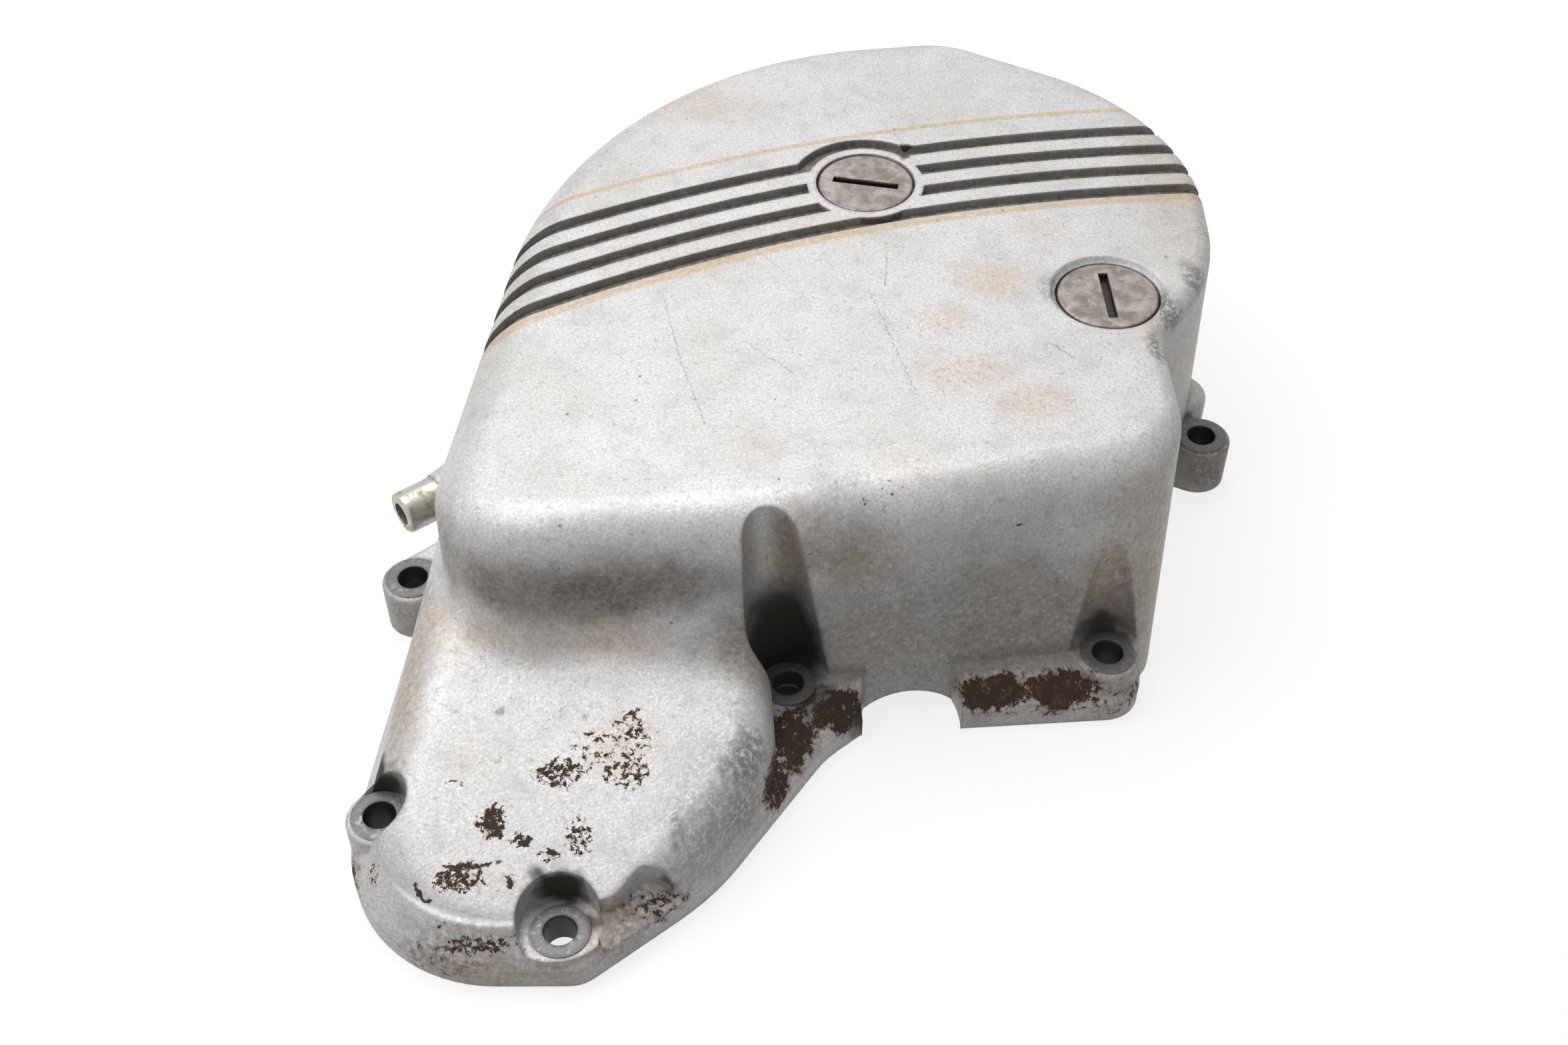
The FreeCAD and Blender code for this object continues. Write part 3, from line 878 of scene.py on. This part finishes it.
    pockets: tuple[Pair, ...] = ((72.0, -49.0), (0.0, -58.0), (-46.0, -121.0), (-85.0, -96.0))
    pocket_edge: Span = (12.0, 13.0)
    middle_x: Pair = (10.0, -45.0)
    middle_x_switch: Span = (-61.0, -63.0)
    middle_y: Pair = (30.0, -90.0)
    middle_y_switch: Span = (-76.0, -78.0)
    facing_middle: Span = (-6.0, -12.0)
    under_roof_z: Span = (55.0, 54.0)
    facing_down: Span = (-0.2, -0.4)
    gasket_z: Span = (0.2, 0.05)
    gasket_facing: Span = (-0.9, -0.95)

    mark_stretches: tuple[tuple[float, Colour], ...] = ((0.5, (0.03, 0.9, 0.05)), (-0.9, (0.04, 1.1, 0.05)))
    mark_span: Span = (0.72, 0.78)
    mark_fray: Span = (0.5, 0.6)
    mark_share: float = 0.35
    dot_scale: float = 0.13
    dot_edge: Span = (0.07, 0.04)
    dot_choice: Span = (0.72, 0.76)
    dot_share: float = 0.75

    corroded_weight: float = 0.42
    eaten_span: Span = (0.72, 0.80)
    pitted_weight: float = 0.30
    pit_span: Span = (0.762, 0.785)
    shelter_mm: float = 7.0

    dust_dullness: float = 0.6
    paint_roughness: Pair = (0.34, 0.54)
    dull_roughness: float = 0.8
    seat_roughness: float = 0.38
    metallic: Pair = (0.26, 0.0)
    edge_mm: float = 1.3
    sand_depth_mm: float = 0.08
    sand_strength: float = 0.8
    flake_depth_mm: float = 0.5

    def grooves(self, graph: Graph) -> Socket:
        """Mask of the grooves across the roof, with the ring round the collar.

        Args:
            graph: The material that is built.

        Returns:
            The mask's socket.
        """
        beyond = graph.math("SUBTRACT", graph.distance(*self.groove_centre), self.groove_first_r)
        row = graph.math("DIVIDE", beyond, self.groove_pitch)
        nearest = graph.math("ABSOLUTE", graph.math("SUBTRACT", row, graph.math("ROUND", row)))
        half = self.groove_half_width / self.groove_pitch
        in_row = graph.ramp(nearest, *(half * share for share in self.groove_edge))
        band = graph.both(graph.ramp(row, *self.first_row), graph.ramp(row, *self.last_row))
        around = graph.distance(*self.crank_axis)
        ring = graph.both(graph.ramp(around, *self.ring_radius), graph.ramp(row, *self.ring_rows))
        sunk = graph.ramp(graph.z, *self.below_roof_z)
        outside = graph.both(graph.ramp(around, *self.collar_edge), graph.ramp(graph.z, *self.groove_bottom_z))
        return graph.both(graph.either(graph.both(in_row, band), ring), sunk, outside)

    def around_seats(self, graph: Graph) -> tuple[Socket, Socket]:
        """Masks of the bare seats and of the bolt holes.

        Args:
            graph: The material that is built.

        Returns:
            The seats' mask and the holes' mask.
        """
        nearest = graph.distance(*self.seats[0])
        for x, y in self.seats[1:]:
            nearest = graph.math("MINIMUM", nearest, graph.distance(x, y))
        heights = [graph.math("ABSOLUTE", graph.math("SUBTRACT", graph.z, z)) for z in self.seat_heights]
        levels = [graph.ramp(height, *self.seat_reach) for height in heights]
        seats = graph.both(graph.ramp(nearest, *self.seat_edge), graph.either(*levels))
        holes = graph.both(graph.ramp(nearest, *self.hole_edge), graph.ramp(graph.z, *self.hole_top_z))
        return seats, holes

    def hidden_side(self, graph: Graph) -> Socket:
        """Mask of the unpainted inside of the casting.

        Args:
            graph: The material that is built.

        Returns:
            The mask's socket.
        """
        middle_x = graph.blend(graph.ramp(graph.y, *self.middle_x_switch), *self.middle_x)
        middle_y = graph.blend(graph.ramp(graph.y, *self.middle_y_switch), *self.middle_y)
        across = graph.both(graph.normal_x, graph.math("SUBTRACT", graph.x, middle_x))
        along = graph.both(graph.normal_y, graph.math("SUBTRACT", graph.y, middle_y))
        inward = graph.both(graph.ramp(graph.math("ADD", across, along), *self.facing_middle),
                            graph.ramp(graph.z, *self.under_roof_z))
        pockets = [graph.ramp(graph.distance(x, y), *self.pocket_edge) for x, y in self.pockets]
        return graph.either(graph.ramp(graph.normal_z, *self.facing_down), graph.both(inward, *pockets))

    def painted(self, graph: Graph, texture: Texture) -> Socket:
        """Silver paint with its sand grain and painted glints, faint clouds, fine marks and dots.

        Args:
            graph: The material that is built.
            texture: Coordinates and noise that are shared.

        Returns:
            The colour's socket.
        """
        sand = graph.noise(self.sand)
        cloud = graph.noise(self.cloud)
        mottle = graph.noise(self.mottle)
        colour = graph.tint(sand, self.sand_tint, self.silver_dark)
        # Painted glints: near-white flecks in the sand grain stand in for light sparkling off the paint.
        colour = graph.tint(sand, self.glint_tint, colour)
        colour = graph.tint(mottle, self.mottle_tint, colour)
        colour = graph.tint(cloud, self.cloud_tint, colour)
        marks = []
        for turn, stretch in self.mark_stretches:
            mapping = graph.node("ShaderNodeMapping")
            mapping.inputs["Rotation"].default_value = (0.0, 0.0, turn)
            mapping.inputs["Scale"].default_value = stretch
            graph.link(graph.place, mapping.inputs["Vector"])
            marks.append(graph.ramp(graph.noise(self.mark, mapping.outputs["Vector"]), *self.mark_span))
        broken = graph.ramp(texture.speckle, *self.mark_fray)
        colour = graph.mix(graph.both(graph.either(*marks), broken, self.mark_share), colour, self.smoke_and_shade)
        dots = graph.node("ShaderNodeTexVoronoi")
        graph.link(graph.place, dots.inputs["Vector"])
        dots.inputs["Scale"].default_value = self.dot_scale
        near = graph.ramp(dots.outputs["Distance"], *self.dot_edge)
        chosen = graph.ramp(graph.split(dots.outputs["Color"])[0], *self.dot_choice)
        return graph.mix(graph.both(near, chosen, self.dot_share), colour, self.smoke_and_shade)

    def stained(self, graph: Graph, texture: Texture,
                colour: Socket) -> tuple[Socket, Socket]:
        """Lay the stains and the scratches over the paint; parts of the smoky and dusty stains are painted
        shade.

        Args:
            graph: The material that is built.
            texture: Coordinates and noise that are shared.
            colour: The colour underneath.

        Returns:
            The colour's socket and the mask of the dust, which is partly painted shade.
        """
        masks = {}
        for stain in (self.tan_bands, self.dusty_and_shaded, self.yellowed, self.smoky_and_shaded):
            place = graph.patches(texture.ragged, stain.patches)
            masks[stain] = graph.both(place, graph.ramp(texture.speckle, *stain.span))
            colour = graph.mix(graph.math("MULTIPLY", masks[stain], stain.share), colour, stain.colour)
        colour = graph.mix(graph.strokes(texture.frayed, self.scratches), colour, self.smoke_and_shade)
        return colour, masks[self.dusty_and_shaded]

    def grooved(self, graph: Graph, texture: Texture,
                colour: Socket) -> tuple[Socket, Socket]:
        """Darken the grooves, and lay thin ochre lines beside them.

        Args:
            graph: The material that is built.
            texture: Coordinates and noise that are shared.
            colour: The colour underneath.

        Returns:
            The colour's socket and the grooves' mask.
        """
        far = graph.distance(*self.groove_centre)
        on_roof = graph.both(graph.ramp(graph.z, *self.roof_z), graph.ramp(graph.normal_z, *self.facing_up))
        lines = [graph.ramp(graph.math("ABSOLUTE", graph.math("SUBTRACT", far, radius)),
                            width, width * self.line_core) for radius, width in self.line_rings]
        broken = graph.ramp(texture.speckle, *self.line_fray)
        shown = graph.both(graph.either(*lines), on_roof, broken, self.line_share)
        colour = graph.mix(shown, colour, self.ochre)
        groove = self.grooves(graph)
        deep = graph.tint(texture.speckle, self.groove_dirt, self.groove)
        frayed = graph.both(groove, graph.ramp(texture.speckle, *self.groove_fray))
        return graph.mix(frayed, colour, deep), groove

    def decayed(self, graph: Graph, texture: Texture,
                colour: Socket) -> tuple[Socket, ...]:
        """Lay corrosion, grime with painted shade in the pockets, and pits over the paint.

        Args:
            graph: The material that is built.
            texture: Coordinates and noise that are shared.
            colour: The colour underneath.

        Returns:
            The colour's socket, then the masks of what is eaten, of the grime and painted shade, and of what
            is pitted.
        """
        crack = graph.noise(self.crack, texture.frayed)
        corroded = graph.patches(texture.ragged, self.corroded)
        rotten = graph.math("MULTIPLY_ADD", corroded, self.corroded_weight, crack)
        eaten = graph.ramp(rotten, *self.eaten_span)
        patchy = graph.tint(graph.noise(self.rust_grain), self.rust_tint, self.rust)
        patchy = graph.tint(graph.noise(self.pale_grain), self.pale_tint, patchy)
        colour = graph.tint(rotten, self.rust_halo, colour)
        colour = graph.mix(eaten, colour, patchy)
        grime_and_shade = graph.patches(texture.ragged, self.grime_and_pocket_shade)
        colour = graph.tint(grime_and_shade, self.grime_and_shade_tint, colour)
        pitted = graph.patches(texture.frayed, self.pitted)
        pit_level = graph.math("MULTIPLY_ADD", pitted, self.pitted_weight, crack)
        pit = graph.either(graph.ramp(pit_level, *self.pit_span), graph.strokes(texture.frayed, self.worms))
        colour = graph.tint(pit_level, self.pit_halo, colour)
        return graph.mix(pit, colour, self.rust), eaten, grime_and_shade, pit

    def uncoated(self, graph: Graph, texture: Texture,
                 colour: Socket) -> tuple[Socket, Socket]:
        """Show bare metal on the seats, the inside and the gasket face, and paint shade into the bolt holes.

        Args:
            graph: The material that is built.
            texture: Coordinates and noise that are shared.
            colour: The colour underneath.

        Returns:
            The colour's socket and the seats' mask.
        """
        seat, painted_hole_shade = self.around_seats(graph)
        worn = graph.both(seat, graph.ramp(texture.speckle, *self.seat_fray))
        colour = graph.mix(worn, colour, self.bare)
        cast = graph.tint(graph.noise(self.inner_grain), self.inner_tint, self.inner)
        colour = graph.mix(self.hidden_side(graph), colour, cast)
        gasket = graph.both(graph.ramp(graph.z, *self.gasket_z),
                            graph.ramp(graph.normal_z, *self.gasket_facing))
        colour = graph.mix(gasket, colour, self.machined)
        # Painted shade: the walls of the bolt holes are near black.
        return graph.mix(painted_hole_shade, colour, self.grime_and_shade), seat

    def build(self, layout: Layout) -> Material:
        """Make the material.

        Args:
            layout: Grid that the patterns are drawn on.

        Returns:
            The casting's material.
        """
        graph = Graph("cast_silver", layout)
        texture = Texture(graph.warped(*self.ragged), graph.warped(*self.frayed), graph.noise(self.speckle))
        corner = graph.shelter(self.shelter_mm)
        colour = self.painted(graph, texture)
        colour, dust_and_shade = self.stained(graph, texture, colour)
        colour, groove = self.grooved(graph, texture, colour)
        colour, eaten, grime_and_shade, pit = self.decayed(graph, texture, colour)
        # Painted shade: corners and hollows are darkened by occlusion, together with their dirt.
        colour = graph.tint(corner, self.corner_dirt_and_shade, colour)
        colour, seat = self.uncoated(graph, texture, colour)
        graph.link(colour, graph.shader.inputs["Base Color"])

        dull = graph.either(eaten, groove, pit, grime_and_shade, graph.math("MULTIPLY", dust_and_shade, self.dust_dullness))
        rough = graph.blend(dull, graph.blend(texture.speckle, *self.paint_roughness), self.dull_roughness)
        graph.link(graph.blend(seat, rough, self.seat_roughness), graph.shader.inputs["Roughness"])
        graph.link(graph.blend(dull, *self.metallic), graph.shader.inputs["Metallic"])
        sand = graph.bump(graph.noise(self.sand_relief), self.sand_depth_mm, graph.soft_edges(self.edge_mm),
                          self.sand_strength)
        flaked = graph.bump(graph.noise(self.flake_relief), self.flake_depth_mm, sand,
                            graph.either(pit, eaten))
        graph.link(flaked, graph.shader.inputs["Normal"])
        return graph.material


@dataclass(frozen=True)
class PlugFinish:
    """Dull, scuffed alloy of the screw plugs.

    Attributes:
        name: Name of the material.
        face_z: Height of the plug's face, in millimetres.
        axis: Grid position of the plug's axis.
    """

    name: str
    face_z: float
    axis: Pair
    dark: Colour = (0.20, 0.165, 0.15)
    # Near black of the painted shade in the slot.
    slot: Colour = (0.04, 0.035, 0.03)
    bright: Tint = Tint((0.40, 0.355, 0.335), (0.35, 0.7))
    scuffs: Grain = Grain(0.22, 4.0, 0.65, 0.4)
    slot_top: Span = (-0.3, -0.9)
    slot_bottom: Span = (-3.2, -2.6)
    slot_radius: Span = (10.5, 10.0)
    metallic: float = 0.55
    roughness: Pair = (0.55, 0.38)
    relief: Grain = Grain(1.5, 4.0, 0.65)
    relief_mm: float = 0.06
    edge_mm: float = 0.5

    def build(self, layout: Layout) -> Material:
        """Make the material.

        Args:
            layout: Grid that the patterns are drawn on.

        Returns:
            The plug's material.
        """
        graph = Graph(self.name, layout)
        patches = graph.ramp(graph.noise(self.scuffs), *self.bright.span)
        colour = graph.mix(patches, self.dark, self.bright.colour)
        deep = graph.ramp(graph.z, *(self.face_z + below for below in self.slot_top))
        inside = graph.ramp(graph.distance(*self.axis), *self.slot_radius)
        above = graph.ramp(graph.z, *(self.face_z + below for below in self.slot_bottom))
        # Painted shade: the slot's walls and floor are near black.
        colour = graph.mix(graph.both(deep, inside, above), colour, self.slot)
        graph.link(colour, graph.shader.inputs["Base Color"])
        graph.shader.inputs["Metallic"].default_value = self.metallic
        graph.link(graph.blend(patches, *self.roughness), graph.shader.inputs["Roughness"])
        relief = graph.bump(graph.noise(self.relief), self.relief_mm, graph.soft_edges(self.edge_mm))
        graph.link(relief, graph.shader.inputs["Normal"])
        return graph.material


@dataclass(frozen=True)
class SteelFinish:
    """Dull steel of the hose nipple, with brown stains."""

    steel: Colour = (0.50, 0.48, 0.44)
    stain: Tint = Tint((0.30, 0.22, 0.13), (0.45, 0.75))
    stain_grain: Grain = Grain(0.4, 4.0, 0.6)
    metallic: float = 0.8
    roughness: Pair = (0.32, 0.6)
    relief: Grain = Grain(2.5, 3.0, 0.6)
    relief_mm: float = 0.04
    relief_strength: float = 0.6

    def build(self, layout: Layout) -> Material:
        """Make the material.

        Args:
            layout: Grid that the patterns are drawn on.

        Returns:
            The nipple's material.
        """
        graph = Graph("dull_steel", layout)
        patches = graph.ramp(graph.noise(self.stain_grain), *self.stain.span)
        graph.link(graph.mix(patches, self.steel, self.stain.colour), graph.shader.inputs["Base Color"])
        graph.shader.inputs["Metallic"].default_value = self.metallic
        graph.link(graph.blend(patches, *self.roughness), graph.shader.inputs["Roughness"])
        relief = graph.bump(graph.noise(self.relief), self.relief_mm, strength=self.relief_strength)
        graph.link(relief, graph.shader.inputs["Normal"])
        return graph.material


@dataclass(frozen=True)
class RubberFinish:
    """Matte black rubber of the seal rings."""

    black: Colour = (0.018, 0.018, 0.018)
    worn: Colour = (0.045, 0.043, 0.04)
    wear: Grain = Grain(0.8, 3.0)
    roughness: float = 0.6
    relief: Grain = Grain(3.0)
    relief_mm: float = 0.03
    relief_strength: float = 0.5

    def build(self, layout: Layout) -> Material:
        """Make the material.

        Args:
            layout: Grid that the patterns are drawn on.

        Returns:
            The seals' material.
        """
        graph = Graph("seal_rubber", layout)
        colour = graph.mix(graph.noise(self.wear), self.black, self.worn)
        graph.link(colour, graph.shader.inputs["Base Color"])
        graph.shader.inputs["Roughness"].default_value = self.roughness
        relief = graph.bump(graph.noise(self.relief), self.relief_mm, strength=self.relief_strength)
        graph.link(relief, graph.shader.inputs["Normal"])
        return graph.material



@dataclass
class ScrewPlug:
    """Thread of one slotted plug, a ridge that climbs round the shank.

    Attributes:
        node: Name of the plug's solid.
        body: Body that the plug moves with.
        shank_radius: Radius of the plain shank.
        crest: How far the ridge stands out.
        pitch: Climb of one turn.
        length: Length of the threaded stretch.
        lead_in: Plain stretch below the thread.
        steps: Points on each turn.
        ridge_sides: Sides of the ridge's section.
    """

    node: str
    body: str
    shank_radius: float = 9.8
    crest: float = 0.25
    pitch: float = 1.5
    length: float = 6.6
    lead_in: float = 0.7
    steps: int = 72
    ridge_sides: int = 6

    def tree(self, material: Material) -> bpy.types.GeometryNodeTree:
        """Build the node tree that sweeps the ridge along a helix.

        Args:
            material: Finish of the ridge.

        Returns:
            The node tree.
        """
        tree = bpy.data.node_groups.new(f"{self.node}_thread", "GeometryNodeTree")
        for name in ThreadSize:
            tree.interface.new_socket(name.value, in_out="INPUT", socket_type="NodeSocketFloat")
        tree.interface.new_socket("Geometry", in_out="OUTPUT", socket_type="NodeSocketGeometry")
        inputs, output = tree.nodes.new("NodeGroupInput"), tree.nodes.new("NodeGroupOutput")
        turns = tree.nodes.new("ShaderNodeMath")
        turns.operation = "DIVIDE"
        tree.links.new(inputs.outputs["Length"], turns.inputs[0])
        tree.links.new(inputs.outputs["Pitch"], turns.inputs[1])
        helix = tree.nodes.new("GeometryNodeCurveSpiral")
        helix.inputs["Resolution"].default_value = self.steps
        tree.links.new(turns.outputs[0], helix.inputs["Rotations"])
        tree.links.new(inputs.outputs["Radius"], helix.inputs["Start Radius"])
        tree.links.new(inputs.outputs["Radius"], helix.inputs["End Radius"])
        tree.links.new(inputs.outputs["Length"], helix.inputs["Height"])
        profile = tree.nodes.new("GeometryNodeCurvePrimitiveCircle")
        profile.inputs["Resolution"].default_value = self.ridge_sides
        tree.links.new(inputs.outputs["Crest"], profile.inputs["Radius"])
        sweep = tree.nodes.new("GeometryNodeCurveToMesh")
        sweep.inputs["Fill Caps"].default_value = True
        realize = tree.nodes.new("GeometryNodeRealizeInstances")
        finish = tree.nodes.new("GeometryNodeSetMaterial")
        finish.inputs["Material"].default_value = material
        tree.links.new(helix.outputs[0], sweep.inputs["Curve"])
        tree.links.new(profile.outputs[0], sweep.inputs["Profile Curve"])
        tree.links.new(sweep.outputs[0], realize.inputs[0])
        tree.links.new(realize.outputs[0], finish.inputs[0])
        tree.links.new(finish.outputs[0], output.inputs[0])
        return tree

    def build(self, material: Material) -> None:
        """Make the thread and let it ride on the plug.

        Args:
            material: Finish of the plug.
        """
        low, high = (Vector(corner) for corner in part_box(self.node))
        middle = (low + high) / 2
        carrier = bpy.data.objects.new(f"{self.node}_thread_path", bpy.data.meshes.new("thread_path"))
        bpy.context.collection.objects.link(carrier)
        modifier = carrier.modifiers.new("thread", "NODES")
        modifier.node_group = self.tree(material)
        sizes = {ThreadSize.RADIUS: self.shank_radius, ThreadSize.CREST: self.crest,
                 ThreadSize.PITCH: self.pitch, ThreadSize.LENGTH: self.length}
        for name, value in sizes.items():
            modifier[modifier.node_group.interface.items_tree[name.value].identifier] = value * MM
        depsgraph = bpy.context.evaluated_depsgraph_get()
        mesh = bpy.data.meshes.new_from_object(carrier.evaluated_get(depsgraph))
        carrier.modifiers.remove(modifier)
        bpy.data.objects.remove(carrier)
        mesh.transform(Matrix.Translation((middle.x, middle.y, low.z + self.lead_in * MM)))
        thread = bpy.data.objects.new(f"{self.node}_thread", mesh)
        bpy.context.collection.objects.link(thread)
        for polygon in mesh.polygons:
            polygon.use_smooth = True
        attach(thread, self.body)


@dataclass
class StatorCover:
    """The whole cover: finishes on the solids, and the threads of its plugs."""

    layout: Layout
    plugs: list[ScrewPlug] = field(default_factory=lambda: [
        ScrewPlug("crank_plug", "crank_plug"),
        ScrewPlug("timing_plug", "timing_plug"),
    ])

    def dress(self, node: str, material: Material) -> None:
        """Give a solid its finish.

        Args:
            node: Name of the solid.
            material: Its finish.
        """
        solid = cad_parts[node]
        for slot in solid.material_slots:
            slot.material = material
        logger.info("dressed %s", node)

    def build(self) -> None:
        """Dress every solid and add the threads."""
        self.dress("cover", CastFinish().build(self.layout))
        self.dress("hose_nipple", SteelFinish().build(self.layout))
        rubber = RubberFinish().build(self.layout)
        for node in ("crank_plug_seal", "timing_plug_seal"):
            self.dress(node, rubber)
        for plug in self.plugs:
            low, high = (Vector(corner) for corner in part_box(plug.node))
            middle = (low + high) / 2 - self.layout.origin()
            finish = PlugFinish(f"{plug.node}_alloy", high.z / MM, (middle.x / MM, middle.y / MM))
            material = finish.build(self.layout)
            self.dress(plug.node, material)
            plug.build(material)
            logger.info("threaded %s", plug.node)


def main() -> None:
    """Build the cover in its studio and report each piece."""
    logging.basicConfig(level=logging.INFO, format="%(name)s: %(message)s")
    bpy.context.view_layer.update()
    bpy.context.scene.view_settings.view_transform = "Standard"
    layout = Layout()
    Camera().build(layout)
    Studio().build(layout)
    StatorCover(layout).build()
    logger.info("cover finished")


if __name__ == "__main__":
    main()
